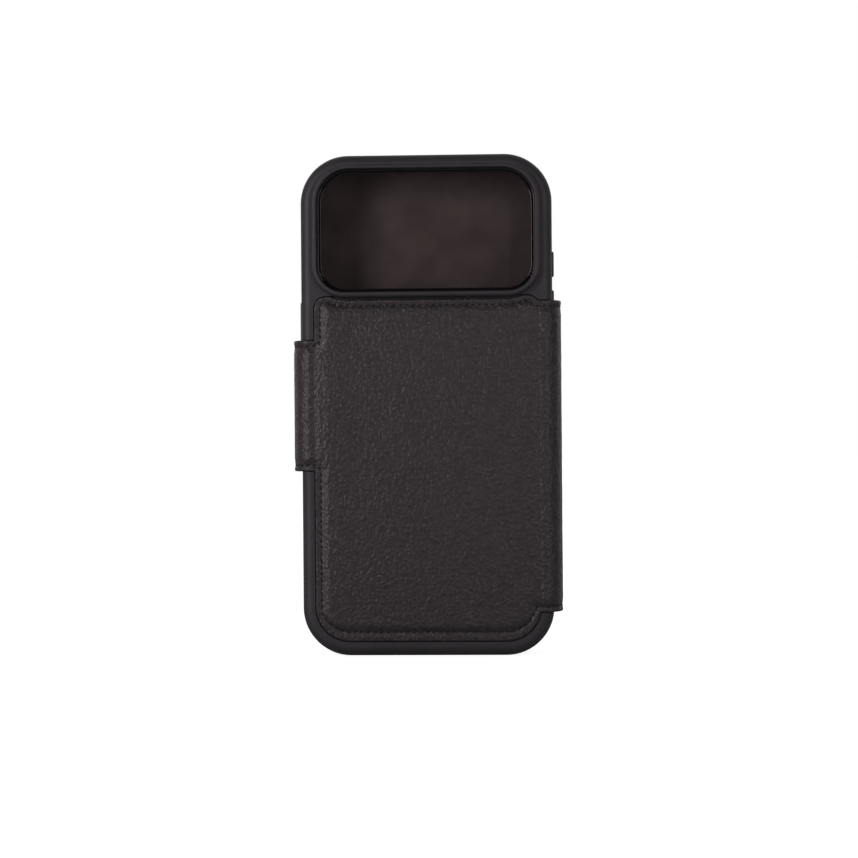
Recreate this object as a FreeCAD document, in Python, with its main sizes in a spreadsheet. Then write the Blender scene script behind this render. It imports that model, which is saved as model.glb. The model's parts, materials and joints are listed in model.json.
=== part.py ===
"""Phone wallet case: a moulded phone tray in a leather folio that folds round it like a book.

Frame: +Z up along the phone's length, +X to the right seen from the back, +Y from the
back of the case towards the screen side. The origin is the middle of the tray's bottom edge.

Layers from the back (-Y) to the front (+Y):
leather back panel and its board, tray wall, tray lining, phone pocket, front lip,
card pockets, cover lining, cover board, cover leather, latch.
"""

import FreeCAD
import Part
import math
import os
from FreeCAD import Placement, Rotation, Vector

DOC = FreeCAD.newDocument("phone_wallet_case")
SHEET = DOC.addObject("Spreadsheet::Sheet", "Sizes")

DRIVING_SIZES = [
    ("tray_wide", 78.0, "outside width of the tray"),
    ("tray_tall", 155.3, "outside height of the tray"),
    ("tray_corner", 14.9, "outside corner radius of the tray"),
    ("rim_back", 7.1, "mid-plane to the back face of the tray rim"),
    ("rim_front", 6.0, "mid-plane to the front face of the tray rim"),
    ("rim_round_back", 3.0, "rounding of the outer back edge"),
    ("rim_round_front", 2.2, "rounding of the outer front edge"),
    ("recess_floor", 5.45, "mid-plane to the floor of the leather recess"),
    ("pocket_back", 4.6, "mid-plane to the inner back face of the pocket"),
    ("pocket_front", 4.65, "mid-plane to the underside of the front lip"),
    ("phone_wide", 72.1, "pocket width, for a phone 71.9 wide"),
    ("phone_tall", 150.2, "pocket height, for a phone 150.0 tall"),
    ("phone_corner", 12.3, "pocket corner radius"),
    ("lip_reach", 1.35, "how far the front lip reaches over the phone"),
    ("window_wide", 67.3, "camera window width"),
    ("window_low", 112.7, "camera window lower edge"),
    ("window_tall", 38.0, "camera window height"),
    ("window_round_low", 8.4, "camera window lower corner radius"),
    ("window_round_high", 10.2, "camera window upper corner radius"),
    ("ledge_wide", 1.2, "ledge inside the camera window"),
    ("ledge_thick", 1.0, "thickness of the ledge inside the camera window"),
    ("guard_wide", 1.7, "width of the raised camera guard"),
    ("guard_proud", 2.3, "height of the camera guard over the rim"),
    ("guard_round_out", 1.05, "rounding of the camera guard's outer edge"),
    ("guard_round_in", 0.45, "rounding of the camera guard's inner edge"),
    ("guard_clear", 0.6, "camera guard to the leather's nominal edge"),
    ("panel_wide", 69.8, "leather back panel width"),
    ("panel_low", 4.5, "leather back panel lower edge"),
    ("panel_tall", 107.0, "leather back panel height"),
    ("panel_round_low", 10.7, "leather back panel lower corner radius"),
    ("panel_round_high", 3.8, "leather back panel upper corner radius"),
    ("fit_gap", 0.15, "gap round inlaid leather"),
    ("leather_thick", 1.2, "leather thickness"),
    ("lining_thick", 0.4, "microfibre thickness"),
    ("board_thick", 0.5, "back board thickness"),
    ("wrap_out", 41.8, "centre line to the outer face of spine and latch"),
    ("wrap_round", 6.2, "outer radius where the leather turns a corner"),
    ("spine_low", 13.4, "spine lower edge"),
    ("spine_tall", 96.4, "spine height"),
    ("latch_low", 57.3, "latch lower edge"),
    ("latch_tall", 40.7, "latch height"),
    ("latch_round", 4.4, "outer radius of the latch's front corner"),
    ("latch_gap", 0.15, "gap between latch and front cover"),
    ("latch_thick", 2.0, "thickness of the latch end over its magnet"),
    ("latch_reach", 17.0, "straight length of the latch end"),
    ("latch_end_round", 5.0, "corner radius of the latch end"),
    ("cover_wide", 77.0, "front cover width"),
    ("cover_tall", 155.0, "front cover height"),
    ("cover_corner", 13.6, "front cover corner radius"),
    ("cover_face", 11.4, "mid-plane to the outer face of the front cover"),
    ("cover_board", 0.8, "front cover board thickness"),
    ("cover_lining", 0.5, "front cover lining thickness"),
    ("cover_slit", 0.4, "slit in the cover's edge above and below the spine"),
    ("card_layer", 0.6, "thickness of one card pocket layer"),
    ("card_left", 37.0, "centre line to the sewn edge of the pockets"),
    ("card_low", 8.0, "lower edge of the pockets"),
    ("card_tall", 99.0, "height of the pockets"),
    ("note_mouth", 33.5, "centre line to the mouth of the note pocket"),
    ("card_mouth", 23.0, "centre line to the mouth of the first card pocket"),
    ("card_step", 10.0, "step from one card pocket mouth to the next"),
    ("plate_wide", 12.0, "closure plate and magnet width"),
    ("plate_tall", 23.0, "closure plate and magnet height"),
    ("plate_left", 33.0, "centre line to the far side of the closure plate"),
    ("magnet_thick", 0.8, "closure magnet thickness"),
    ("seam_wide", 0.5, "width of a line of stitching"),
    ("seam_proud", 0.12, "height of the thread over the leather"),
    ("seam_inset", 1.8, "leather edge to the middle of the stitching"),
    ("port_wide", 13.4, "charging opening width"),
    ("port_deep", 6.4, "charging opening depth"),
    ("sound_hole", 0.85, "radius of a sound hole"),
    ("sound_pitch", 2.9, "pitch of the sound holes"),
    ("sound_start", 12.2, "centre line to the first sound hole"),
    ("button_deep", 3.8, "button width, front to back"),
    ("button_middle", 0.2, "mid-plane to the middle of the buttons"),
    ("button_proud", 0.6, "height of a button over the side wall"),
    ("button_gap", 0.1, "gap round a button"),
    ("flange_wide", 0.6, "button flange width"),
    ("flange_thick", 0.45, "button flange thickness"),
    ("slot_low", 39.2, "camera control opening lower edge"),
    ("slot_tall", 27.0, "camera control opening height"),
    ("slot_deep", 5.6, "camera control opening, front to back"),
]

# Button name, side of the tray (+1 right, -1 left, seen from the back), lower edge, height.
BUTTONS = [
    ("action_button", 1, 117.3, 7.9),
    ("volume_up_button", 1, 101.6, 11.6),
    ("volume_down_button", 1, 88.1, 11.6),
    ("side_button", -1, 92.5, 17.8),
]

HALF_TURN_OF_CORNER = 44.3  # degrees: just under half a right angle, so hinged halves stay apart
WRAP_CLEARANCE = 52.0  # degrees of the back corner where the tray makes room for the leather
SEAM_TURN = 30.0  # degrees of a corner that a line of stitching covers on one side of a fold
SOUND_HOLES = 5
CARD_POCKETS = 3


class Size:
    """A length as a number together with the sheet expression that gives it."""

    def __init__(self, value, text):
        self.value = value
        self.text = text

    def joined(self, sign, other, value):
        return Size(value, "(%s %s %s)" % (self.text, sign, other.text))

    def __add__(self, other):
        other = as_size(other)
        return self.joined("+", other, self.value + other.value)

    def __sub__(self, other):
        other = as_size(other)
        return self.joined("-", other, self.value - other.value)

    def __mul__(self, other):
        other = as_size(other)
        return self.joined("*", other, self.value * other.value)

    def __truediv__(self, other):
        other = as_size(other)
        return self.joined("/", other, self.value / other.value)

    def __neg__(self):
        return Size(-self.value, "(0 - %s)" % self.text)


def as_size(value):
    """A plain number as a Size; a Size stays as it is."""
    return value if isinstance(value, Size) else Size(float(value), "%.6f" % value)


def fill_sheet():
    """Writes the driving sizes to the sheet and returns them by name."""
    sizes = {}
    for row, (name, value, words) in enumerate(DRIVING_SIZES, start=1):
        SHEET.set("A%d" % row, name)
        SHEET.set("B%d" % row, str(value))
        SHEET.set("C%d" % row, words)
        SHEET.setAlias("B%d" % row, name)
        sizes[name] = Size(value, "Sizes.%s" % name)
    DOC.recompute()
    return sizes


SIZE = fill_sheet()


def size(name):
    return SIZE[name]


def bind(obj, name, value):
    """Ties a property to its sheet expression."""
    obj.setExpression(name, as_size(value).text)


# Sketches and PartDesign features


def new_body(label):
    body = DOC.addObject("PartDesign::Body", label)
    body.Label = label
    return body


def plane_sketch(body, name, role, across, along, out):
    """A sketch on one of the body's origin planes, moved by three sizes in the plane's own axes."""
    sketch = body.newObject("Sketcher::SketchObject", name)
    plane = [f for f in body.Origin.OriginFeatures if f.Role == role][0]
    sketch.AttachmentSupport = (plane, [""])
    sketch.MapMode = "FlatFace"
    bind(sketch, "AttachmentOffset.Base.x", across)
    bind(sketch, "AttachmentOffset.Base.y", along)
    bind(sketch, "AttachmentOffset.Base.z", out)
    return sketch


def add_rounded_rectangle(sketch, wide, tall, round_low, round_high):
    """A rounded rectangle centred across the sketch, standing on its horizontal axis."""
    import Sketcher

    wide = as_size(wide)
    tall = as_size(tall)
    round_low = as_size(round_low)
    round_high = as_size(round_high)
    half = wide.value / 2
    top = tall.value
    low = round_low.value
    high = round_high.value
    quarter = math.pi / 2
    first = sketch.GeometryCount

    def line(x1, y1, x2, y2):
        sketch.addGeometry(Part.LineSegment(Vector(x1, y1, 0), Vector(x2, y2, 0)), False)

    def arc(x, y, radius, start):
        circle = Part.Circle(Vector(x, y, 0), Vector(0, 0, 1), radius)
        sketch.addGeometry(Part.ArcOfCircle(circle, start, start + quarter), False)

    line(-half + low, 0, half - low, 0)
    line(half, low, half, top - high)
    line(half - high, top, -half + high, top)
    line(-half, top - high, -half, low)
    arc(half - low, low, low, -quarter)
    arc(half - high, top - high, high, 0)
    arc(-half + high, top - high, high, quarter)
    arc(-half + low, low, low, 2 * quarter)
    bottom, right, upper, left = first, first + 1, first + 2, first + 3
    corners = [first + 4, first + 5, first + 6, first + 7]
    lines = [bottom, right, upper, left]
    for index, corner in enumerate(corners):
        before = lines[index]
        after = lines[(index + 1) % 4]
        sketch.addConstraint(Sketcher.Constraint("Tangent", before, 2, corner, 1))
        sketch.addConstraint(Sketcher.Constraint("Tangent", corner, 2, after, 1))
    sketch.addConstraint(Sketcher.Constraint("Horizontal", bottom))
    sketch.addConstraint(Sketcher.Constraint("Vertical", right))
    sketch.addConstraint(Sketcher.Constraint("PointOnObject", bottom, 1, -1))
    sketch.addConstraint(Sketcher.Constraint("Symmetric", left, 2, right, 1, -2))
    sketch.addConstraint(Sketcher.Constraint("Equal", corners[0], corners[3]))
    sketch.addConstraint(Sketcher.Constraint("Equal", corners[1], corners[2]))

    def dimension(constraint, value):
        index = sketch.addConstraint(constraint)
        sketch.setExpression("Constraints[%d]" % index, value.text)

    dimension(Sketcher.Constraint("DistanceX", left, 2, right, 1, wide.value), wide)
    dimension(Sketcher.Constraint("DistanceY", bottom, 1, upper, 1, top), tall)
    dimension(Sketcher.Constraint("Radius", corners[0], low), round_low)
    dimension(Sketcher.Constraint("Radius", corners[1], high), round_high)


def add_circle(sketch, radius):
    """A circle on the sketch's own origin."""
    import Sketcher

    radius = as_size(radius)
    index = sketch.addGeometry(Part.Circle(Vector(0, 0, 0), Vector(0, 0, 1), radius.value), False)
    sketch.addConstraint(Sketcher.Constraint("Coincident", index, 3, -1, 1))
    named = sketch.addConstraint(Sketcher.Constraint("Radius", index, radius.value))
    sketch.setExpression("Constraints[%d]" % named, radius.text)


def outline(body, name, wide, tall, low, face, round_low, round_high=None, middle=0.0):
    """A rounded rectangle seen from the back, on the plane that lies face behind the mid-plane."""
    sketch = plane_sketch(body, name, "XZ_Plane", middle, low, face)
    add_rounded_rectangle(sketch, wide, tall, round_low, round_high or round_low)
    return sketch


def volume(body):
    return body.Shape.Volume if not body.Shape.isNull() else 0.0


def pad(body, sketch, length, reverse=False):
    """Adds material along the sketch's normal, or against it, and checks that there is more of it."""
    before = volume(body)
    feature = body.newObject("PartDesign::Pad", sketch.Name + "_pad")
    feature.Profile = sketch
    bind(feature, "Length", length)
    feature.Reversed = reverse
    DOC.recompute()
    if volume(body) <= before:
        raise RuntimeError("%s adds nothing" % feature.Name)
    return feature


def pocket(body, sketch, length, reverse=False):
    """Cuts against the sketch's normal, or along it, and checks that something was cut."""
    before = volume(body)
    feature = body.newObject("PartDesign::Pocket", sketch.Name + "_pocket")
    feature.Profile = sketch
    bind(feature, "Length", length)
    feature.Reversed = reverse
    DOC.recompute()
    if volume(body) >= before:
        raise RuntimeError("%s cuts nothing" % feature.Name)
    return feature


def round_edges(body, chosen, radius):
    """Rounds the edges of the body for which chosen(edge) is true."""
    names = ["Edge%d" % n for n, e in enumerate(body.Shape.Edges, start=1) if chosen(e)]
    tip = body.Tip
    feature = body.newObject("PartDesign::Fillet", body.Name + "_round")
    feature.Base = (tip, names)
    bind(feature, "Radius", radius)
    DOC.recompute()
    return feature


def at_depth(y):
    """Chooses edges that lie wholly at one Y."""

    def chosen(edge):
        box = edge.BoundBox
        return abs(box.YMin - y) < 1e-3 and abs(box.YMax - y) < 1e-3

    return chosen


def at_side(x):
    """Chooses edges that lie wholly at one X."""

    def chosen(edge):
        box = edge.BoundBox
        return abs(box.XMin - x) < 1e-3 and abs(box.XMax - x) < 1e-3

    return chosen


# Part primitives for leather that turns a corner


def ring_sector(name, centre_x, centre_y, outer, thick, start, turn, low, tall):
    """Part of an upright tube wall: start and turn are degrees round the tube's axis."""
    walls = []
    for suffix, radius in (("_outer", outer), ("_inner", outer - thick)):
        wall = DOC.addObject("Part::Cylinder", name + suffix)
        bind(wall, "Radius", radius)
        bind(wall, "Height", tall)
        wall.Angle = turn
        wall.Placement = Placement(Vector(), Rotation(Vector(0, 0, 1), start))
        bind(wall, "Placement.Base.x", centre_x)
        bind(wall, "Placement.Base.y", centre_y)
        bind(wall, "Placement.Base.z", low)
        walls.append(wall)
    cut = DOC.addObject("Part::Cut", name)
    cut.Base = walls[0]
    cut.Tool = walls[1]
    return cut


def block(name, x1, x2, y1, y2, low, tall):
    """A box between two X and two Y values."""
    box = DOC.addObject("Part::Box", name)
    bind(box, "Length", as_size(x2) - x1)
    bind(box, "Width", as_size(y2) - y1)
    bind(box, "Height", tall)
    bind(box, "Placement.Base.x", x1)
    bind(box, "Placement.Base.y", y1)
    bind(box, "Placement.Base.z", low)
    return box


def fused(label, pieces):
    """One object made of several that touch."""
    fuse = DOC.addObject("Part::MultiFuse", label)
    fuse.Shapes = pieces
    fuse.Refine = True
    fuse.Label = label
    return fuse


# Derived places shared by several pieces

HALF_WALL = size("tray_wide") / 2
WRAP_X = size("wrap_out") - size("wrap_round")
PANEL_FACE = size("recess_floor") + size("board_thick") + size("leather_thick")
BACK_Y = size("wrap_round") - PANEL_FACE
FRONT_Y = size("cover_face") - size("wrap_round")
LATCH_FACE = size("cover_face") + size("latch_gap") + size("latch_thick")
LATCH_X = size("wrap_out") - size("latch_round")
LATCH_Y = LATCH_FACE - size("latch_round")
WRAP_THICK = size("leather_thick") + size("lining_thick")
INNER_WALL = size("phone_wide") / 2
GUARD_WIDE = size("window_wide") + size("guard_wide") * 2
GUARD_LOW = size("window_low") - size("guard_wide")
GUARD_TALL = size("window_tall") + size("guard_wide") * 2


def cut_wrap_passage(body, name, side, low, tall):
    """Lowers and rounds the tray rim where the leather passes over it to the spine or latch."""
    gap = size("fit_gap")
    start = size("panel_wide") / 2 - 1
    reach = HALF_WALL + 2 - start
    middle = (start + reach / 2) * side
    sketch = outline(
        body, name, reach, tall + gap * 2, low - gap, size("recess_floor"), 0.3, None, middle
    )
    pocket(body, sketch, size("rim_back"), reverse=True)


def round_wrap_corners(body):
    """Rounds the tray's back edge under the leather that turns to the spine and to the latch."""
    gap = size("fit_gap")
    outer = size("wrap_round") + 3.0
    thick = size("leather_thick") + size("lining_thick") + gap + 3.0
    cutters = []
    for name, side, low, tall in (
        ("spine", 1, size("spine_low"), size("spine_tall")),
        ("latch", -1, size("latch_low"), size("latch_tall")),
    ):
        start = -90 if side > 0 else 270 - WRAP_CLEARANCE
        cutters.append(
            ring_sector(
                name + "_corner_cutter", WRAP_X * side, BACK_Y, outer, thick, start,
                WRAP_CLEARANCE, low - gap, tall + gap * 2,
            )
        )
    cut = DOC.addObject("Part::Cut", "bumper_shell")
    cut.Base = body
    cut.Tool = fused("corner_cutters", cutters)
    return cut


def make_tray():
    """The moulded tray: rim, phone pocket, front lip, camera guard and openings."""
    body = new_body("tray_moulding")
    gap = size("fit_gap")
    block_sketch = outline(
        body, "tray_outline", size("tray_wide"), size("tray_tall"), 0, -size("rim_front"),
        size("tray_corner"),
    )
    pad(body, block_sketch, size("rim_front") + size("rim_back"))
    round_edges(body, at_depth(-size("rim_back").value), size("rim_round_back"))
    round_edges(body, at_depth(size("rim_front").value), size("rim_round_front"))

    pocket_low = (size("tray_tall") - size("phone_tall")) / 2
    phone = outline(
        body, "phone_pocket", size("phone_wide"), size("phone_tall"), pocket_low,
        size("pocket_back"), size("phone_corner"),
    )
    pocket(body, phone, size("pocket_back") + size("pocket_front"))

    reach = size("lip_reach")
    opening = outline(
        body, "front_opening", size("phone_wide") - reach * 2, size("phone_tall") - reach * 2,
        pocket_low + reach, -size("pocket_front"), size("phone_corner") - reach,
    )
    pocket(body, opening, size("rim_front"))

    recess = outline(
        body, "leather_recess", size("panel_wide") + gap * 2, size("panel_tall") + gap * 2,
        size("panel_low") - gap, size("recess_floor"), size("panel_round_low") + gap,
        size("panel_round_high") + gap,
    )
    pocket(body, recess, size("rim_back"), reverse=True)
    cut_wrap_passage(body, "spine_passage", 1, size("spine_low"), size("spine_tall"))
    cut_wrap_passage(body, "latch_passage", -1, size("latch_low"), size("latch_tall"))

    round_low = size("window_round_low") + size("guard_wide")
    round_high = size("window_round_high") + size("guard_wide")
    guard = outline(
        body, "camera_guard", GUARD_WIDE, GUARD_TALL, GUARD_LOW, size("pocket_back"), round_low,
        round_high,
    )
    pad(body, guard, size("rim_back") - size("pocket_back") + size("guard_proud"))
    crest = -(size("rim_back") + size("guard_proud")).value
    round_edges(body, at_depth(crest), size("guard_round_out"))
    window = outline(
        body, "camera_window", size("window_wide"), size("window_tall"), size("window_low"),
        size("pocket_back") + size("ledge_thick"), size("window_round_low"),
        size("window_round_high"),
    )
    pocket(body, window, size("rim_back") + size("guard_proud"), reverse=True)
    ledge = size("ledge_wide")
    opening = outline(
        body, "camera_opening", size("window_wide") - ledge * 2, size("window_tall") - ledge * 2,
        size("window_low") + ledge, size("pocket_back") - 0.5, size("window_round_low") - ledge,
        size("window_round_high") - ledge,
    )
    pocket(body, opening, size("ledge_thick") + 1, reverse=True)
    hole_x = (size("window_wide") / 2).value

    def inner_crest(edge):
        box = edge.BoundBox
        return at_depth(crest)(edge) and max(abs(box.XMin), abs(box.XMax)) < hole_x + 0.01

    round_edges(body, inner_crest, size("guard_round_in"))
    ledge_y = -(size("pocket_back") + size("ledge_thick")).value
    opening_x = hole_x - ledge.value

    def ledge_lip(edge):
        box = edge.BoundBox
        return at_depth(ledge_y)(edge) and max(abs(box.XMin), abs(box.XMax)) < opening_x + 0.01

    round_edges(body, ledge_lip, 0.3)

    cut_bottom_openings(body)
    cut_side_openings(body)
    return round_wrap_corners(body)


def cut_bottom_openings(body):
    """The charging opening and the sound holes through the bottom wall, and one in the top."""
    port = plane_sketch(
        body, "charging_opening", "XY_Plane", 0, size("button_middle") - size("port_deep") / 2, 0
    )
    round_port = size("port_deep") / 2 - 0.05
    add_rounded_rectangle(port, size("port_wide"), size("port_deep"), round_port, round_port)
    pocket(body, port, 4.0, reverse=True)
    for side in (-1, 1):
        for hole in range(SOUND_HOLES):
            place = (size("sound_start") + size("sound_pitch") * hole) * side
            name = "sound_hole_%s%d" % ("left" if side < 0 else "right", hole + 1)
            sketch = plane_sketch(body, name, "XY_Plane", place, size("button_middle"), 0)
            add_circle(sketch, size("sound_hole"))
            pocket(body, sketch, 4.0, reverse=True)
    top = plane_sketch(
        body, "top_sound_hole", "XY_Plane", 20.0, size("button_middle"), size("tray_tall")
    )
    add_circle(top, size("sound_hole"))
    pocket(body, top, 4.0)


def side_outline(body, name, deep, tall, low, out):
    """A slot shape on a plane parallel to the side walls."""
    sketch = plane_sketch(body, name, "YZ_Plane", size("button_middle"), low, out)
    end = as_size(deep) / 2 - 0.05
    add_rounded_rectangle(sketch, deep, tall, end, end)
    return sketch


def cut_side_openings(body):
    """Stepped windows for the buttons, and the open slot for the camera control."""
    gap = size("button_gap")
    flange = size("flange_wide")
    for name, side, low, tall in BUTTONS:
        seat = side_outline(
            body, name + "_seat", size("button_deep") + (flange + gap) * 2,
            as_size(tall) + (flange + gap) * 2, as_size(low) - flange - gap, INNER_WALL * side,
        )
        pocket(body, seat, size("flange_thick") + gap, reverse=side > 0)
        hole = side_outline(
            body, name + "_hole", size("button_deep") + gap * 2, as_size(tall) + gap * 2,
            as_size(low) - gap, INNER_WALL * side,
        )
        pocket(body, hole, 5.0, reverse=side > 0)
    slot = side_outline(
        body, "camera_control_slot", size("slot_deep"), size("slot_tall"), size("slot_low"),
        -INNER_WALL + 0.5,
    )
    pocket(body, slot, 6.0)


def make_button(name, side, low, tall):
    """A button cap: a slotted head through the wall on a wider flange behind it."""
    body = new_body(name)
    flange = size("flange_wide")
    inner = INNER_WALL + 0.05
    seat = side_outline(
        body, name + "_flange", size("button_deep") + flange * 2, as_size(tall) + flange * 2,
        as_size(low) - flange, inner * side,
    )
    pad(body, seat, size("flange_thick"), reverse=side < 0)
    head = side_outline(body, name + "_head", size("button_deep"), tall, low, inner * side)
    pad(body, head, HALF_WALL + size("button_proud") - inner, reverse=side < 0)
    outer = side * (HALF_WALL + size("button_proud")).value
    round_edges(body, at_side(outer), 0.4)
    return body


def clear_of_guard(body, name, face, extra):
    """Cuts the top of a back layer to follow the camera guard."""
    reach = size("guard_clear") + extra
    sketch = outline(
        body, name, GUARD_WIDE + reach * 2, 20.0, GUARD_LOW - reach, face,
        size("window_round_low") + size("guard_wide") + reach, 0.5,
    )
    pocket(body, sketch, 4.0)


def make_back_panel():
    """The inlaid back panel with the halves of its turns to the spine and to the latch."""
    flat = new_body("panel_flat")
    sketch = outline(
        flat, "panel_outline", size("panel_wide"), size("panel_tall"), size("panel_low"),
        size("recess_floor") + size("board_thick"), size("panel_round_low"),
        size("panel_round_high"),
    )
    pad(flat, sketch, size("leather_thick"))
    clear_of_guard(flat, "panel_guard_edge", size("rim_back") + 1, size("fit_gap"))
    pieces = [flat]
    edge = size("panel_wide") / 2 - 1
    y1 = -PANEL_FACE
    y2 = y1 + size("leather_thick")
    for name, side, low, tall in (
        ("spine", 1, size("spine_low"), size("spine_tall")),
        ("latch", -1, size("latch_low"), size("latch_tall")),
    ):
        x1, x2 = (edge, WRAP_X) if side > 0 else (-WRAP_X, -edge)
        pieces.append(block("panel_to_" + name, x1, x2, y1, y2, low, tall))
        start = -90 if side > 0 else 270 - HALF_TURN_OF_CORNER
        pieces.append(
            ring_sector(
                "panel_turn_" + name, WRAP_X * side, BACK_Y, size("wrap_round"),
                size("leather_thick"), start, HALF_TURN_OF_CORNER, low, tall,
            )
        )
    return fused("back_leather", pieces)


def make_back_board():
    """The stiff board bonded under the leather back panel."""
    body = new_body("back_board")
    inset = as_size(0.6)
    sketch = outline(
        body, "board_outline", size("panel_wide") - inset * 2, size("panel_tall") - inset * 2,
        size("panel_low") + inset, size("recess_floor"), size("panel_round_low") - inset,
        size("panel_round_high") - inset,
    )
    pad(body, sketch, size("board_thick"))
    clear_of_guard(body, "board_guard_edge", size("rim_back") + 1, inset)
    return body


def make_tray_lining():
    """The microfibre sheet on the inner back face of the pocket, below the camera window."""
    body = new_body("tray_lining")
    low = (size("tray_tall") - size("phone_tall")) / 2 + 0.3
    wide = size("phone_wide") - 0.6
    tall = size("window_low") - low - 1.2
    sketch = outline(
        body, "tray_lining_outline", wide, tall, low,
        size("pocket_back") - size("lining_thick"), size("phone_corner") - 0.3, 1.0,
    )
    pad(body, sketch, size("lining_thick"))
    return body


def seam_frame(body, name, wide, tall, low, face, round_low, round_high, middle=0.0):
    """A closed frame one stitch wide that stands on a face, towards the back."""
    line = size("seam_wide")
    outer = outline(body, name + "_outer", wide, tall, low, face, round_low, round_high, middle)
    pad(body, outer, size("seam_proud"))
    inner = outline(
        body, name + "_inner", wide - line * 2, tall - line * 2, low + line,
        face + size("seam_proud"), round_low - line, round_high - line, middle,
    )
    pocket(body, inner, size("seam_proud"))


def open_seam(body, name, side, low, tall, face):
    """Takes the side of a seam frame away over a stretch of its height."""
    sketch = outline(
        body, name, 14.0, tall, low, face + size("seam_proud"), 0.1, None,
        (size("panel_wide") / 2) * side,
    )
    pocket(body, sketch, size("seam_proud"))


def edge_heights(low, tall):
    """The lower ends of the two lines of stitching along a strip of leather."""
    half = size("seam_wide") / 2
    return (low + size("seam_inset") - half, low + tall - size("seam_inset") - half)


def make_back_seam():
    """The stitching round the back panel, out to the folds of the spine and latch."""
    frame = new_body("panel_seam_frame")
    inset = size("seam_inset")
    low = size("panel_low") + inset
    tall = size("spine_low") + size("spine_tall") - inset - low + size("seam_wide") / 2
    seam_frame(
        frame, "panel_seam", size("panel_wide") - inset * 2, tall, low, PANEL_FACE,
        size("panel_round_low") - inset, size("panel_round_high"),
    )
    open_seam(
        frame, "spine_seam_gap", 1, size("spine_low") + inset,
        size("spine_tall") - inset * 2 - size("seam_wide") / 2, PANEL_FACE,
    )
    open_seam(
        frame, "latch_seam_gap", -1, size("latch_low") + inset,
        size("latch_tall") - inset * 2, PANEL_FACE,
    )
    pieces = [frame]
    y1 = -PANEL_FACE - size("seam_proud")
    start_x = size("panel_wide") / 2 - inset - 1
    for name, side, low_edge, height in (
        ("spine", 1, size("spine_low"), size("spine_tall")),
        ("latch", -1, size("latch_low"), size("latch_tall")),
    ):
        x1, x2 = (start_x, WRAP_X) if side > 0 else (-WRAP_X, -start_x)
        for index, z in enumerate(edge_heights(low_edge, height)):
            label = "seam_%s_%d" % (name, index + 1)
            pieces.append(block(label + "_flat", x1, x2, y1, -PANEL_FACE, z, size("seam_wide")))
            pieces.append(
                ring_sector(
                    label + "_turn", WRAP_X * side, BACK_Y,
                    size("wrap_round") + size("seam_proud"), size("seam_proud"),
                    -90 if side > 0 else 270 - SEAM_TURN, SEAM_TURN, z, size("seam_wide"),
                )
            )
    return fused("back_seam", pieces)


def wrap_strip(label, side, back, front, outer_back, outer_front, thick, turns, low, tall):
    """Leather or lining that runs down one side of the case, with half of each corner turn.

    back and front are the (x, y) centres of the two corner turns, and turns the degrees of each.
    """
    back_start = -turns if side > 0 else 180.0
    front_start = 0.0 if side > 0 else 180.0 - turns
    wall_outer = back[0] + outer_back * side
    wall_inner = wall_outer - as_size(thick) * side
    x1, x2 = (wall_inner, wall_outer) if side > 0 else (wall_outer, wall_inner)
    return [
        ring_sector(
            label + "_back_turn", back[0], back[1], outer_back, thick, back_start, turns, low, tall
        ),
        block(label + "_wall", x1, x2, back[1], front[1], low, tall),
        ring_sector(
            label + "_front_turn", front[0], front[1], outer_front, thick, front_start, turns,
            low, tall,
        ),
    ]


def make_side_strip(leather, lining, seam, side, back, front, outer_front, low, tall):
    """The leather, lining and stitching of the spine or of the latch's side."""
    half = HALF_TURN_OF_CORNER
    outer = size("wrap_round")
    inner_step = size("leather_thick")
    made = [
        fused(
            leather,
            wrap_strip(
                leather + "_strip", side, back, front, outer, outer_front,
                size("leather_thick"), half, low, tall,
            ),
        ),
        fused(
            lining,
            wrap_strip(
                lining + "_strip", side, back, front, outer - inner_step,
                outer_front - inner_step, size("lining_thick"), half, low + 0.5, tall - 1.0,
            ),
        ),
    ]
    proud = size("seam_proud")
    lines = []
    for index, z in enumerate(edge_heights(low, tall)):
        lines += wrap_strip(
            "%s_line_%d" % (seam, index + 1), side, back, front, outer + proud,
            outer_front + proud, proud, SEAM_TURN, z, size("seam_wide"),
        )
    made.append(fused(seam, lines))
    return made


def make_spine():
    return make_side_strip(
        "spine_leather", "spine_lining", "spine_seam", 1, (WRAP_X, BACK_Y), (WRAP_X, FRONT_Y),
        size("wrap_round"), size("spine_low"), size("spine_tall"),
    )


def make_latch_side():
    return make_side_strip(
        "latch_side_leather", "latch_side_lining", "latch_side_seam", -1, (-WRAP_X, BACK_Y),
        (-LATCH_X, LATCH_Y), size("latch_round"), size("latch_low"), size("latch_tall"),
    )


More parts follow.
